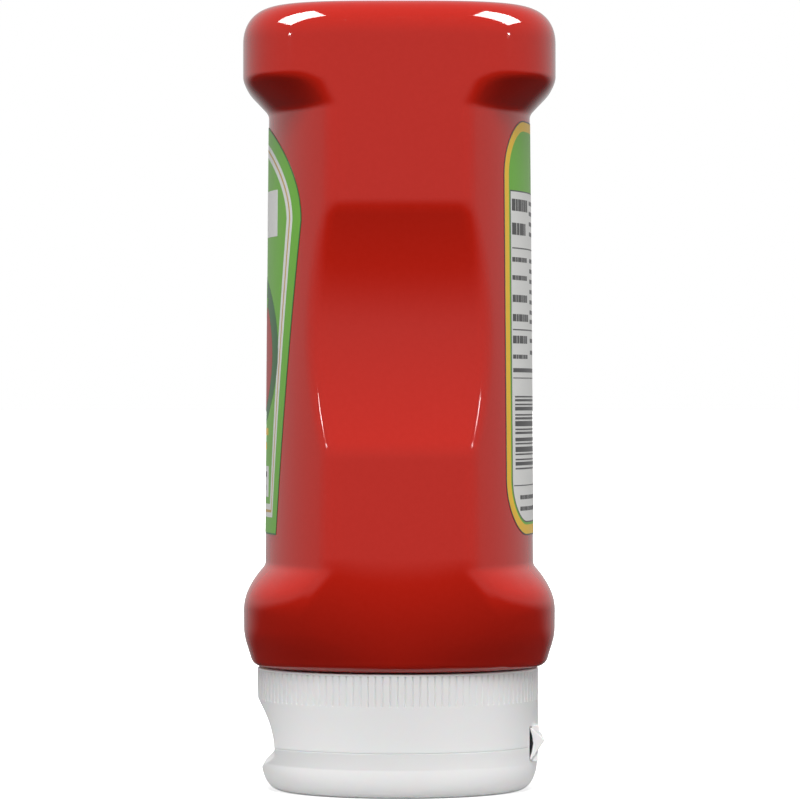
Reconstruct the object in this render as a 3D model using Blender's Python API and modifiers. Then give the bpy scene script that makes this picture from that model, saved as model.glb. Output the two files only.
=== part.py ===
"""Upside-down squeeze bottle of ketchup that stands on its shut flip-top cap.

Z is up and the origin is on the floor, under the middle of the bottle. The front label faces -Y, the
back label faces +Y, and the two thumb grips are on the narrow sides at +X and -X.
"""

import math

import bmesh
import bpy

MM = 0.001
GAP = 0.3 * MM  # clearance between pieces that touch on the real bottle

# Bottle: an oval column with a flat top face, cut in at the front and back for the labels
HEIGHT = 152.4 * MM
FOOT = 24.3 * MM  # underside of the bottle, just over the cap
WIDTH = 69.8 * MM
DEPTH = 61.0 * MM
OVAL_POWER = 3.3  # superellipse power of the oval, 2 being an ellipse
ROUND_POWER = 2.0

TOP_ROUND = 7.0 * MM
TOP_ROUND_POWER = 2.3
DISH_DEPTH = 1.2 * MM  # shallow push-up in the top face
DISH_EDGE = 0.84  # share of the top face that the dish takes

SIDE_TUCK_TOP = 46.2 * MM  # where the narrow sides start to curve in towards the cap
SIDE_TUCK_RADIUS = 40.0 * MM
FRONT_TUCK_TOP = 30.4 * MM
FRONT_TUCK_SLOPE = 0.3
FRONT_TUCK_SOFT = 0.5 * MM
FOOT_ROUND = 1.4 * MM

# Label panels: cylinders with upright axes, leaning a little
PANEL_RADIUS = 53.2 * MM
PANEL_BOTTOM = 44.0 * MM
PANEL_TOP = 130.5 * MM
PANEL_REACH_BOTTOM = 26.3 * MM  # from the middle of the bottle to the panel, at its lower end
PANEL_REACH_TOP = 25.6 * MM
SIDE_EDGE_SOFT = 1.4 * MM  # rounding between panel and narrow side

# Walls that lead from a panel's upper and lower end out to the column, with round corners
UPPER_WALL_FOOT = 132.25 * MM
UPPER_WALL_RUN = 5.2 * MM  # height of the wall in its middle
UPPER_WALL_GROWTH = 0.7 * MM  # how much higher it is near its corners
UPPER_CORNER_RUN = 7.5 * MM
UPPER_CORNER_REACH = 21.9 * MM  # distance from the middle, along Y, where the corner starts
UPPER_WALL_SOFT = 0.8 * MM
UPPER_EDGE_SOFT = 2.0 * MM
UPPER_CORNER_SOFT = 0.7 * MM
LOWER_WALL_FOOT = 44.1 * MM
LOWER_WALL_RUN = 4.65 * MM
LOWER_WALL_GROWTH = 1.4 * MM
LOWER_CORNER_RUN = 9.0 * MM
LOWER_CORNER_REACH = 24.0 * MM
LOWER_WALL_SOFT = 0.6 * MM
LOWER_EDGE_SOFT = 3.9 * MM
LOWER_CORNER_SOFT = 1.2 * MM
CORNER_END = 12.7 * MM  # distance from the middle, along Y, where a corner meets the panel's edge
CORNER_POWER = 2.3
GROWTH_END = 25.0 * MM  # distance from the middle, along X, where a wall is highest
LEAST_RUN = 1.2 * MM
LEAST_SLOPE = 0.35

# Thumb grips: a long shallow scoop across each narrow side
GRIP_MIDDLE = 89.95 * MM
GRIP_HALF_LENGTH = 23.2 * MM
GRIP_DEPTH = 3.55 * MM
GRIP_SOFT = 0.5 * MM

NECK_RADIUS = 18.0 * MM
NECK_END = 12.3 * MM
COLUMNS = 72
COLUMN_SHIFTS = ((2, -0.1), (4, 0.1))  # harmonic and size, which bring columns to the panels' edges

# Labels: thin skins on the two panels
LABEL_THICKNESS = 0.25 * MM
FRONT_LABEL_BOTTOM = 50.3 * MM
FRONT_LABEL_SPRING = 110.6 * MM  # height where the sides end and the arched top begins
FRONT_LABEL_TOP = 129.8 * MM
FRONT_LABEL_HALF_BOTTOM = 16.0 * MM
FRONT_LABEL_HALF_TOP = 26.6 * MM
FRONT_ARCH_END = 0.12  # share of the width left at the very top of the arch
BACK_LABEL_BOTTOM = 50.2 * MM
BACK_LABEL_TOP = 130.4 * MM
BACK_LABEL_HALF = 24.1 * MM
BACK_LABEL_CORNER = 11.0 * MM
LABEL_ROWS = 14
LABEL_COLUMNS = 8

# Cap: a ribbed collar and a smooth skirt, which sit 0.3 mm in front of the bottle's middle
CAP_RADIUS = 27.55 * MM
CAP_SHIFT = 0.3 * MM
CAP_TOP = 24.0 * MM
CAP_BOTTOM = 9.15 * MM
CAP_EDGE = 0.3 * MM
BORE_RADIUS = NECK_RADIUS + GAP
BORE_FLOOR = NECK_END - GAP
SPIGOT_RADIUS = 22.5 * MM  # stepped ring under the skirt that the lid closes over
SPIGOT_BOTTOM = 7.6 * MM
CAP_STEPS = 80

RIBS = 120
RIB_BOTTOM = 17.8 * MM
RIB_TOP = 23.65 * MM
GROOVE_DEPTH = 0.38 * MM
GROOVE_HALF_WIDTH = 0.22 * MM

# Lid: a shallow cup with a rounded foot that stands on the floor
LID_RADIUS = 27.2 * MM
LID_TOP = CAP_BOTTOM - GAP
LID_WAIST_RADIUS = 27.05 * MM
LID_ROUND_HEIGHT = 5.6 * MM
LID_ROUND_REACH = 3.7 * MM
LID_ROUND_STEPS = 8
SOCKET_RADIUS = SPIGOT_RADIUS + CAP_SHIFT + GAP

# Thumb recess at the front: a scoop in the skirt above a lip on the lid
SCOOP_RADIUS = 15.8 * MM
SCOOP_MIDDLE = 8.0 * MM
SCOOP_FACE = 24.2 * MM  # from the middle of the bottle to the deepest line of the scoop
SCOOP_TOP = 18.9 * MM
SCOOP_STEPS = 10
LIP_LEDGE = ((24.2, 7.6), (24.5, 7.1), (25.2, 6.4), (26.4, 5.4), (26.9, 4.6), (27.6, 4.3))  # reach, height, mm

# Hinge: a folded strap at the back, over a flat pocket cut straight across cap and lid
HINGE_POCKET_FACE = 25.05 * MM  # from the middle of the bottle
HINGE_POCKET_TOP = 12.9 * MM
HINGE_POCKET_BOTTOM = 6.1 * MM
HINGE_HALF_LENGTH = 9.2 * MM
HINGE_FOLD = ((25.8, 12.5), (28.3, 10.2), (25.8, 6.5))  # outer face: reach and height, mm
HINGE_HOLLOW = ((25.4, 6.7), (25.9, 8.2), (26.1, 9.6), (25.9, 11.0), (25.4, 12.4))  # inner face, mm

RED = "B5281F"
LABEL_GREEN = "78B345"
LABEL_YELLOW = "E8C23F"
CAP_WHITE = "E4E4E4"


def clear_scene():
    """Remove everything that the scene starts with."""
    for obj in list(bpy.data.objects):
        bpy.data.objects.remove(obj, do_unlink=True)


def new_collection(name):
    """Make a collection and link it to the scene."""
    collection = bpy.data.collections.new(name)
    bpy.context.scene.collection.children.link(collection)
    return collection


def linear(channel):
    """Turn one sRGB channel, 0 to 1, to linear light."""
    return channel / 12.92 if channel <= 0.04045 else ((channel + 0.055) / 1.055) ** 2.4


def material(name, colour, roughness, coat=0.0):
    """A Principled material from an sRGB hex colour."""
    made = bpy.data.materials.new(name)
    made.use_nodes = True
    shader = made.node_tree.nodes["Principled BSDF"]
    rgb = [linear(int(colour[i:i + 2], 16) / 255) for i in (0, 2, 4)]
    shader.inputs["Base Color"].default_value = (*rgb, 1.0)
    shader.inputs["Roughness"].default_value = roughness
    shader.inputs["Metallic"].default_value = 0.0
    shader.inputs["Coat Weight"].default_value = coat
    return made


def soft_min(a, b, soft):
    """The smaller of two lengths, rounded off where they are within soft of each other."""
    overlap = max(soft - abs(a - b), 0.0) / soft
    return min(a, b) - overlap * overlap * soft / 4


def soft_max(a, b, soft):
    """The larger of two lengths, rounded off like soft_min."""
    return -soft_min(-a, -b, soft)


def blend(start, end, share):
    """A value part of the way from start to end, with share kept between 0 and 1."""
    share = min(max(share, 0.0), 1.0)
    return start + (end - start) * share


def top_inset(z):
    """How far the rounded top edge has drawn the column in at height z."""
    share = min(max((z - HEIGHT) / TOP_ROUND + 1, 0.0), 1.0)
    return TOP_ROUND * (1 - (1 - share ** TOP_ROUND_POWER) ** (1 / TOP_ROUND_POWER))


def foot_inset(z):
    """How far the rounded lower edge has drawn the column in at height z."""
    share = min(max((FOOT + FOOT_ROUND - z) / FOOT_ROUND, 0.0), 1.0)
    return FOOT_ROUND * (1 - math.sqrt(1 - share * share))


def grip_inset(z):
    """How deep the thumb grip is at height z."""
    share = (z - GRIP_MIDDLE) / GRIP_HALF_LENGTH
    return soft_max(0.0, GRIP_DEPTH * (1 - share * share), GRIP_SOFT)


def side_tuck(z):
    """How far the narrow sides have curved in towards the cap at height z."""
    drop = max(SIDE_TUCK_TOP - z, 0.0)
    return SIDE_TUCK_RADIUS - math.sqrt(SIDE_TUCK_RADIUS ** 2 - drop * drop)


def column_axes(z):
    """Half width and half depth of the oval column at height z."""
    rounding = top_inset(z) + foot_inset(z)
    front_tuck = soft_max(0.0, (FRONT_TUCK_TOP - z) * FRONT_TUCK_SLOPE, FRONT_TUCK_SOFT)
    half_width = WIDTH / 2 - rounding - side_tuck(z) - grip_inset(z)
    return half_width, DEPTH / 2 - rounding - front_tuck


def oval_power(z):
    """The superellipse power at height z: round at the cap, squarer from the tuck upwards."""
    share = (z - FOOT) / (SIDE_TUCK_TOP - FOOT)
    return blend(ROUND_POWER, OVAL_POWER, share)


def panel_reach(z):
    """Distance from the bottle's middle to the label panel at height z."""
    share = (z - PANEL_BOTTOM) / (PANEL_TOP - PANEL_BOTTOM)
    return PANEL_REACH_BOTTOM + (PANEL_REACH_TOP - PANEL_REACH_BOTTOM) * share


def panel_drop(x):
    """How far the panel has curved back at a distance x from its middle."""
    return PANEL_RADIUS - math.sqrt(PANEL_RADIUS ** 2 - x * x)


def wall_slope(gap, x, y, run, growth, corner_run, corner_reach):
    """Slope of the wall at a panel's end, which is shorter where its corner rounds off."""
    corner = min(max((corner_reach - y) / (corner_reach - CORNER_END), 0.0), 1.0)
    drawn_in = corner_run * (1 - (1 - corner ** CORNER_POWER) ** (1 / CORNER_POWER))
    full_run = run + growth * min(x / GROWTH_END, 1.0) ** 2
    return max(gap / max(full_run - drawn_in, LEAST_RUN), LEAST_SLOPE)


def wall_rise(x, y, z):
    """How far a wall stands out from the panel at height z, towards the column's point (x, y)."""
    gap = y + panel_drop(x) - panel_reach(z)
    if z > GRIP_MIDDLE:
        above = soft_max(0.0, z - UPPER_WALL_FOOT, UPPER_WALL_SOFT)
        sizes = (UPPER_WALL_RUN, UPPER_WALL_GROWTH, UPPER_CORNER_RUN, UPPER_CORNER_REACH)
        return above * wall_slope(gap, x, y, *sizes)
    below = soft_max(0.0, LOWER_WALL_FOOT - z, LOWER_WALL_SOFT)
    sizes = (LOWER_WALL_RUN, LOWER_WALL_GROWTH, LOWER_CORNER_RUN, LOWER_CORNER_REACH)
    return below * wall_slope(gap, x, y, *sizes)


def edge_soft(along, z):
    """Rounding of the panel's edge: along is 1 at the panel's middle and small at its sides."""
    if z > GRIP_MIDDLE:
        corner = blend(SIDE_EDGE_SOFT, UPPER_CORNER_SOFT, (z - PANEL_TOP) / UPPER_WALL_RUN)
        return blend(corner, UPPER_EDGE_SOFT, along ** 4)
    corner = blend(SIDE_EDGE_SOFT, LOWER_CORNER_SOFT, (LOWER_WALL_FOOT - z) / LOWER_WALL_RUN)
    return blend(corner, LOWER_EDGE_SOFT, along ** 4)


def section_radius(angle, z):
    """Distance from the middle to the bottle's surface, at an angle from +X and a height."""
    across, along = abs(math.cos(angle)), abs(math.sin(angle))
    half_width, half_depth = column_axes(z)
    power = oval_power(z)
    oval = ((across / half_width) ** power + (along / half_depth) ** power) ** (-1 / power)
    centre = PANEL_RADIUS - panel_reach(z) - wall_rise(oval * across, oval * along, z)
    under_root = PANEL_RADIUS ** 2 - (across * centre) ** 2
    if under_root <= 0:
        return oval
    panel = math.sqrt(under_root) - along * centre
    return soft_min(oval, panel, edge_soft(along, z))


def evenly(start, end, count):
    """Heights from start to end, with end left out."""
    return [start + (end - start) * i / count for i in range(count)]


def ring_heights():
    """Heights of the bottle's rings, closer together where the surface turns."""
    heights = [FOOT + FOOT_ROUND * (1 - math.cos(math.radians(a))) for a in (0, 30, 60)]
    heights += evenly(FOOT + FOOT_ROUND, 34.0 * MM, 4)
    heights += evenly(34.0 * MM, 45.5 * MM, 8)
    heights += evenly(45.5 * MM, GRIP_MIDDLE - GRIP_HALF_LENGTH - 1.5 * MM, 2)
    heights += evenly(GRIP_MIDDLE - GRIP_HALF_LENGTH - 1.5 * MM, GRIP_MIDDLE + GRIP_HALF_LENGTH + 1.5 * MM, 13)
    heights += evenly(GRIP_MIDDLE + GRIP_HALF_LENGTH + 1.5 * MM, 130.5 * MM, 2)
    heights += evenly(130.5 * MM, 142.0 * MM, 9)
    heights += evenly(142.0 * MM, HEIGHT - TOP_ROUND, 1)
    heights += [HEIGHT - TOP_ROUND * (1 - math.sin(math.radians(a))) for a in (0, 15, 28, 40, 52, 64, 77, 90)]
    return heights


def ring(z, radius_at, shift=0.0):
    """One ring of points at height z, from a function of the angle, shifted towards -Y."""
    even = [2 * math.pi * i / COLUMNS for i in range(COLUMNS)]
    angles = [a + sum(size * math.sin(harmonic * a) for harmonic, size in COLUMN_SHIFTS) for a in even]
    return [(radius_at(a) * math.cos(a), radius_at(a) * math.sin(a) - shift, z) for a in angles]


def loft(name, rings):
    """A closed mesh through rings of equal point count, the first and last filled flat."""
    shape = bmesh.new()
    loops = [[shape.verts.new(point) for point in points] for points in rings]
    for lower, upper in zip(loops, loops[1:]):
        for i in range(len(lower)):
            j = (i + 1) % len(lower)
            shape.faces.new((lower[i], lower[j], upper[j], upper[i]))
    shape.faces.new(reversed(loops[0]))
    shape.faces.new(loops[-1])
    mesh = bpy.data.meshes.new(name)
    shape.to_mesh(mesh)
    shape.free()
    return mesh


def add_object(name, mesh, collection, finish=None):
    """Put a mesh in the scene as one object."""
    obj = bpy.data.objects.new(name, mesh)
    collection.objects.link(obj)
    if finish:
        mesh.materials.append(finish)
    return obj


def shade_round(obj, degrees=35):
    """Shade an object smooth, with edges sharper than the angle kept crisp."""
    obj.data.shade_smooth()
    obj.data.set_sharp_from_angle(angle=math.radians(degrees))


def build_bottle(collection):
    """The red bottle as one solid, with the neck that goes down into the cap."""
    rings = [ring(z, lambda angle: NECK_RADIUS, CAP_SHIFT) for z in (NECK_END, FOOT)]
    for z in ring_heights():
        rings.append(ring(z, lambda angle, z=z: section_radius(angle, z)))
    for share, depth in ((0.93, 0.0), (DISH_EDGE, 0.06), (0.72, 0.6), (0.45, 0.9), (0.15, 1.0)):
        z = HEIGHT - DISH_DEPTH * depth
        rings.append(ring(z, lambda angle, share=share: share * section_radius(angle, HEIGHT)))
    bottle = add_object("bottle", loft("bottle", rings), collection, material("red_bottle", RED, 0.25, 0.5))
    shade_round(bottle)
    return bottle


def front_half_width(z):
    """Half width of the front label: straight sides that open upwards to an arched top."""
    if z <= FRONT_LABEL_SPRING:
        share = (z - FRONT_LABEL_BOTTOM) / (FRONT_LABEL_SPRING - FRONT_LABEL_BOTTOM)
        return blend(FRONT_LABEL_HALF_BOTTOM, FRONT_LABEL_HALF_TOP, share)
    rise = (z - FRONT_LABEL_SPRING) / (FRONT_LABEL_TOP - FRONT_LABEL_SPRING)
    return FRONT_LABEL_HALF_TOP * math.sqrt(1 - rise * rise * (1 - FRONT_ARCH_END ** 2))


def back_half_width(z):
    """Half width of the back label: an upright rectangle with round corners."""
    from_end = min(z - BACK_LABEL_BOTTOM, BACK_LABEL_TOP - z)
    short = max(BACK_LABEL_CORNER - from_end, 0.0)
    return BACK_LABEL_HALF - BACK_LABEL_CORNER + math.sqrt(BACK_LABEL_CORNER ** 2 - short * short)


def label_heights(bottom, top):
    """Row heights of a label, closer together at its ends."""
    turns = [math.pi * i / LABEL_ROWS for i in range(LABEL_ROWS + 1)]
    return [bottom + (top - bottom) * (1 - math.cos(turn)) / 2 for turn in turns]


def build_label(name, collection, bottom, top, half_width, facing, finish):
    """A skin on one panel: facing is -1 for the front and 1 for the back."""
    shape = bmesh.new()
    rows = []
    for z in label_heights(bottom, top):
        row = []
        for i in range(LABEL_COLUMNS + 1):
            x = half_width(z) * (2 * i / LABEL_COLUMNS - 1)
            row.append(shape.verts.new((x, facing * (panel_reach(z) - panel_drop(x) + GAP), z)))
        rows.append(row)
    for lower, upper in zip(rows, rows[1:]):
        for i in range(LABEL_COLUMNS):
            corners = (lower[i], lower[i + 1], upper[i + 1], upper[i])
            shape.faces.new(corners if facing < 0 else reversed(corners))
    mesh = bpy.data.meshes.new(name)
    shape.to_mesh(mesh)
    shape.free()
    label = add_object(name, mesh, collection, finish)
    skin = label.modifiers.new("Skin", "SOLIDIFY")
    skin.thickness = LABEL_THICKNESS
    skin.offset = 1.0
    return label


def turned(name, profile, collection, finish, steps):
    """A turned solid: the profile starts and ends on the axis and runs down its outer side."""
    mesh = bpy.data.meshes.new(name)
    points = [(radius, 0.0, z) for radius, z in profile]
    mesh.from_pydata(points, [(i, i + 1) for i in range(len(points) - 1)], [])
    obj = add_object(name, mesh, collection, finish)
    screw = obj.modifiers.new("Turn", "SCREW")
    screw.steps = steps
    screw.render_steps = steps
    screw.use_merge_vertices = True
    screw.merge_threshold = 0.00001
    return obj


def as_helper(obj):
    """Mark an object as a cutter that is not part of the model."""
    obj.hide_render = True
    obj.display_type = "WIRE"
    return obj


def cut(obj, cutter, name):
    """Take a cutter's volume out of an object."""
    boolean = obj.modifiers.new(name, "BOOLEAN")
    boolean.operation = "DIFFERENCE"
    boolean.solver = "EXACT"
    boolean.object = cutter


def groove_cutter(collection):
    """One V-shaped bar for each groove between two ribs of the collar."""
    shape = bmesh.new()
    bar_radius = 0.6 * MM
    slope = GROOVE_HALF_WIDTH / GROOVE_DEPTH
    reach = GROOVE_DEPTH + bar_radius
    for i in range(RIBS):
        turn = 2 * math.pi * (i + 0.5) / RIBS
        outline = (
            (CAP_RADIUS - GROOVE_DEPTH, 0.0),
            (CAP_RADIUS + bar_radius, reach * slope),
            (CAP_RADIUS + bar_radius, -reach * slope),
        )
        ends = []
        for z in (RIB_BOTTOM, RIB_TOP):
            ends.append([
                shape.verts.new((
                    radial * math.cos(turn) - side * math.sin(turn),
                    radial * math.sin(turn) + side * math.cos(turn) - CAP_SHIFT,
                    z,
                ))
                for radial, side in outline
            ])
        lower, upper = ends
        shape.faces.new(lower)
        shape.faces.new(reversed(upper))
        for a in range(3):
            b = (a + 1) % 3
            shape.faces.new((lower[a], upper[a], upper[b], lower[b]))
    bmesh.ops.recalc_face_normals(shape, faces=shape.faces)
    mesh = bpy.data.meshes.new("rib_grooves")
    shape.to_mesh(mesh)
    shape.free()
    return as_helper(add_object("rib_grooves", mesh, collection))


def crosswise_bar(name, outline, half_length, collection):
    """A bar along X from an outline of (y, z) points."""
    shape = bmesh.new()
    verts = [shape.verts.new((-half_length, y, z)) for y, z in outline]
    face = shape.faces.new(verts)
    swept = bmesh.ops.extrude_face_region(shape, geom=[face])
    moved = [item for item in swept["geom"] if isinstance(item, bmesh.types.BMVert)]
    bmesh.ops.translate(shape, verts=moved, vec=(2 * half_length, 0.0, 0.0))
    bmesh.ops.recalc_face_normals(shape, faces=shape.faces)
    mesh = bpy.data.meshes.new(name)
    shape.to_mesh(mesh)
    shape.free()
    return add_object(name, mesh, collection)


def skirt_scoop(collection):
    """Cutter for the round scoop in the skirt above the lid's lip."""
    top_turn = math.asin((SCOOP_TOP - SCOOP_MIDDLE) / SCOOP_RADIUS)
    outline = []
    for i in range(SCOOP_STEPS + 1):
        turn = top_turn * (1 - i / SCOOP_STEPS)
        reach = SCOOP_FACE + SCOOP_RADIUS * (1 - math.cos(turn))
        outline.append((-reach, SCOOP_MIDDLE + SCOOP_RADIUS * math.sin(turn)))
    outline += [(-SCOOP_FACE, 2 * MM), (-2 * SCOOP_FACE, 2 * MM), (-2 * SCOOP_FACE, SCOOP_TOP)]
    return as_helper(crosswise_bar("skirt_scoop", outline, CAP_RADIUS, collection))


def lip_cutter(collection):
    """Cutter that leaves the thumb lip standing out from the lid."""
    outline = [(-SCOOP_FACE, 12 * MM)]
    outline += [(-reach * MM, z * MM) for reach, z in LIP_LEDGE]
    outline += [(-2 * SCOOP_FACE, LIP_LEDGE[-1][1] * MM), (-2 * SCOOP_FACE, 12 * MM)]
    return as_helper(crosswise_bar("lip_ledge", outline, CAP_RADIUS, collection))


def hinge_pocket(collection):
    """Cutter for the flat pocket behind the hinge strap."""
    outline = (
        (HINGE_POCKET_FACE, HINGE_POCKET_BOTTOM),
        (2 * CAP_RADIUS, HINGE_POCKET_BOTTOM),
        (2 * CAP_RADIUS, HINGE_POCKET_TOP),
        (HINGE_POCKET_FACE, HINGE_POCKET_TOP),
    )
    return as_helper(crosswise_bar("hinge_pocket", outline, CAP_RADIUS, collection))


def build_cap(collection, cutters, pocket, finish):
    """The collar and skirt, with grooves between the ribs, the thumb scoop and the hinge pocket."""
    profile = [
        (0.0, BORE_FLOOR),
        (BORE_RADIUS, BORE_FLOOR),
        (BORE_RADIUS, CAP_TOP),
        (CAP_RADIUS - CAP_EDGE, CAP_TOP),
        (CAP_RADIUS - CAP_EDGE * 0.3, CAP_TOP - CAP_EDGE * 0.3),
        (CAP_RADIUS, CAP_TOP - CAP_EDGE),
        (CAP_RADIUS, CAP_BOTTOM + CAP_EDGE),
        (CAP_RADIUS - CAP_EDGE, CAP_BOTTOM),
        (SPIGOT_RADIUS, CAP_BOTTOM),
        (SPIGOT_RADIUS, SPIGOT_BOTTOM),
        (0.0, SPIGOT_BOTTOM),
    ]
    cap = turned("cap", profile, collection, finish, CAP_STEPS)
    cap.location.y = -CAP_SHIFT
    cut(cap, groove_cutter(cutters), "Ribs")
    cut(cap, skirt_scoop(cutters), "Thumb scoop")
    cut(cap, pocket, "Hinge pocket")


def lid_profile():
    """Profile of the lid from its socket, over the edge and down round the foot."""
    profile = [
        (0.0, SPIGOT_BOTTOM - GAP),
        (SOCKET_RADIUS, SPIGOT_BOTTOM - GAP),
        (SOCKET_RADIUS, LID_TOP),
        (LID_RADIUS - CAP_EDGE, LID_TOP),
        (LID_RADIUS, LID_TOP - CAP_EDGE),
    ]
    for i in range(LID_ROUND_STEPS + 1):
        turn = math.pi / 2 * i / LID_ROUND_STEPS
        radius = LID_WAIST_RADIUS - LID_ROUND_REACH * (1 - math.cos(turn))
        profile.append((radius, LID_ROUND_HEIGHT * (1 - math.sin(turn))))
    profile.append((0.0, 0.0))
    return profile


def build_lid(collection, cutters, pocket, finish):
    """The flip lid that the bottle stands on, with its thumb lip."""
    lid = turned("lid", lid_profile(), collection, finish, CAP_STEPS)
    cut(lid, lip_cutter(cutters), "Thumb lip")
    cut(lid, pocket, "Hinge pocket")


def build_hinge(collection, finish):
    """The strap that joins cap and lid, folded outwards and hollow on its inner side."""
    outline = [(reach * MM, z * MM) for reach, z in HINGE_FOLD + HINGE_HOLLOW]
    strap = crosswise_bar("hinge_strap", outline, HINGE_HALF_LENGTH, collection)
    strap.data.materials.append(finish)


def main():
    """Build every piece of the bottle."""
    clear_scene()
    bottle_parts = new_collection("ketchup_bottle")
    cutters = new_collection("cutters")
    build_bottle(bottle_parts)
    green = material("green_label", LABEL_GREEN, 0.5)
    yellow = material("yellow_label", LABEL_YELLOW, 0.5)
    build_label("label_front", bottle_parts, FRONT_LABEL_BOTTOM, FRONT_LABEL_TOP, front_half_width, -1, green)
    build_label("label_back", bottle_parts, BACK_LABEL_BOTTOM, BACK_LABEL_TOP, back_half_width, 1, yellow)
    white = material("white_cap", CAP_WHITE, 0.45)
    pocket = hinge_pocket(cutters)
    build_cap(bottle_parts, cutters, pocket, white)
    build_lid(bottle_parts, cutters, pocket, white)
    build_hinge(bottle_parts, white)


main()
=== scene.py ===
"""Looks of an upside-down squeeze bottle of ketchup that stands on its shut flip-top cap.

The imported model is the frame. The red bottle, the two labels, the cap, its lid and the hinge strap are
modelled finely here from the same sizes as the solids, and dressed as moulded plastic and printed film.
The front label faces -Y, the back label +Y, and the camera looks along -X at one narrow side.
"""

from __future__ import annotations

import logging
import math
from collections.abc import Callable, Iterable, Sequence
from dataclasses import dataclass, field
from enum import Enum
from typing import Any

import bmesh
import bpy
from mathutils import Matrix, Vector


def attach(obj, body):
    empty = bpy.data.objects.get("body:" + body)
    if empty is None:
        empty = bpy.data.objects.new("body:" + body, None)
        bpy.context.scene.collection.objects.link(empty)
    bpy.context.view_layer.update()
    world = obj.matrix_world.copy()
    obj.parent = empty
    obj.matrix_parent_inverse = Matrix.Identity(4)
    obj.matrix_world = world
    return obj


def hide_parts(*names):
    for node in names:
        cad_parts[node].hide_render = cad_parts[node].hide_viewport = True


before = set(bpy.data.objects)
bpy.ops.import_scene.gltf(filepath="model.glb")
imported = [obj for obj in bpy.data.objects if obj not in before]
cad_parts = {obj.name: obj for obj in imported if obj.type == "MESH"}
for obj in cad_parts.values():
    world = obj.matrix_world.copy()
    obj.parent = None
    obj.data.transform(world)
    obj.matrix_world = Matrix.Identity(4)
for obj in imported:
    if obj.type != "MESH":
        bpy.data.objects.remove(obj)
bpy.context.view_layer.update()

Pair = tuple[float, float]
Ring = Callable[[float], Pair]  # from an angle to the radius and height there
BMesh = bmesh.types.BMesh
LOG = logging.getLogger("ketchup_bottle")
MM = 0.001


class Side(Enum):
    """Which label panel a piece lies on, with the sign of its Y direction."""

    FRONT = -1
    BACK = 1


class Print(Enum):
    """Colours of the labels' print and of the painted shadow line round each label's rim, each with its
    place in the label's list of materials.
    """

    GREEN = 0
    WHITE = 1
    GOLD = 2
    YELLOW = 3
    DARK_GREEN = 4
    CHARCOAL = 5
    RED = 6


PRINT_COLOURS: dict[Print, str] = {
    Print.GREEN: "6FB733",
    Print.WHITE: "E9E9E6",
    Print.GOLD: "C9A24A",
    Print.YELLOW: "F3C42C",
    Print.DARK_GREEN: "2F6B34",
    Print.CHARCOAL: "4A4A4A",
    Print.RED: "B82A22",
}


def linear_rgb(colour: str) -> tuple[float, float, float, float]:
    """Turn an sRGB hex colour to linear light.

    Args:
        colour: Six hex digits, such as "B5281F".

    Returns:
        Red, green, blue and an alpha of 1.
    """
    channels = [int(colour[i:i + 2], 16) / 255 for i in (0, 2, 4)]
    bent = [c / 12.92 if c <= 0.04045 else ((c + 0.055) / 1.055) ** 2.4 for c in channels]
    return bent[0], bent[1], bent[2], 1.0


def add_node(
    tree: bpy.types.NodeTree,
    kind: str,
    settings: dict[str, Any] | None = None,
    values: dict[str, Any] | None = None,
    links: dict[str, bpy.types.NodeSocket] | None = None,
) -> bpy.types.Node:
    """Add one shader node.

    Args:
        tree: Node tree that takes the node.
        kind: Blender's name for the type of node.
        settings: Properties of the node itself.
        values: Values of inputs that stay unlinked.
        links: Sockets of other nodes that feed its inputs.

    Returns:
        The new node.
    """
    node = tree.nodes.new(kind)
    for key, value in (settings or {}).items():
        setattr(node, key, value)
    for key, value in (values or {}).items():
        node.inputs[key].default_value = value
    for key, source in (links or {}).items():
        tree.links.new(source, node.inputs[key])
    return node


def new_material(name: str) -> tuple[bpy.types.Material, bpy.types.NodeTree, bpy.types.Node]:
    """Make a material with a Principled shader.

    Args:
        name: Name of the material.

    Returns:
        The material, its node tree and its Principled node.
    """
    material = bpy.data.materials.new(name)
    material.use_nodes = True
    tree = material.node_tree
    return material, tree, tree.nodes["Principled BSDF"]


def noise(tree: bpy.types.NodeTree, size: float, detail: float) -> bpy.types.NodeSocket:
    """Noise on the object's own coordinates.

    Args:
        tree: Node tree that takes it.
        size: Size of its largest grains.
        detail: Number of finer octaves.

    Returns:
        Its value.
    """
    place = add_node(tree, "ShaderNodeTexCoord").outputs["Object"]
    values = {"Scale": 1 / size, "Detail": detail}
    return add_node(tree, "ShaderNodeTexNoise", values=values, links={"Vector": place}).outputs["Fac"]


def add_relief(
    tree: bpy.types.NodeTree, shader: bpy.types.Node, height: bpy.types.NodeSocket,
    strength: float, distance: float,
) -> None:
    """Give a shader a fine relief.

    Args:
        tree: Node tree that takes it.
        shader: The Principled node.
        height: Value that gives the relief's height.
        strength: Its strength.
        distance: Its height where the value is 1.
    """
    values = {"Strength": strength, "Distance": distance}
    relief = add_node(tree, "ShaderNodeBump", values=values, links={"Height": height})
    tree.links.new(relief.outputs["Normal"], shader.inputs["Normal"])


def soft_min(a: float, b: float, soft: float) -> float:
    """The smaller of two lengths, rounded off where they are within soft of each other."""
    overlap = max(soft - abs(a - b), 0.0) / soft
    return min(a, b) - overlap * overlap * soft / 4


def soft_max(a: float, b: float, soft: float) -> float:
    """The larger of two lengths, rounded off where they are within soft of each other."""
    return -soft_min(-a, -b, soft)


def blend(start: float, end: float, share: float) -> float:
    """A value part of the way from start to end, with share kept between 0 and 1."""
    share = min(max(share, 0.0), 1.0)
    return start + (end - start) * share


def stepped(start: float, end: float, step: float) -> list[float]:
    """Heights from start up to but not including end, about one step apart."""
    count = max(1, round((end - start) / step))
    return [start + (end - start) * i / count for i in range(count)]


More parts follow.
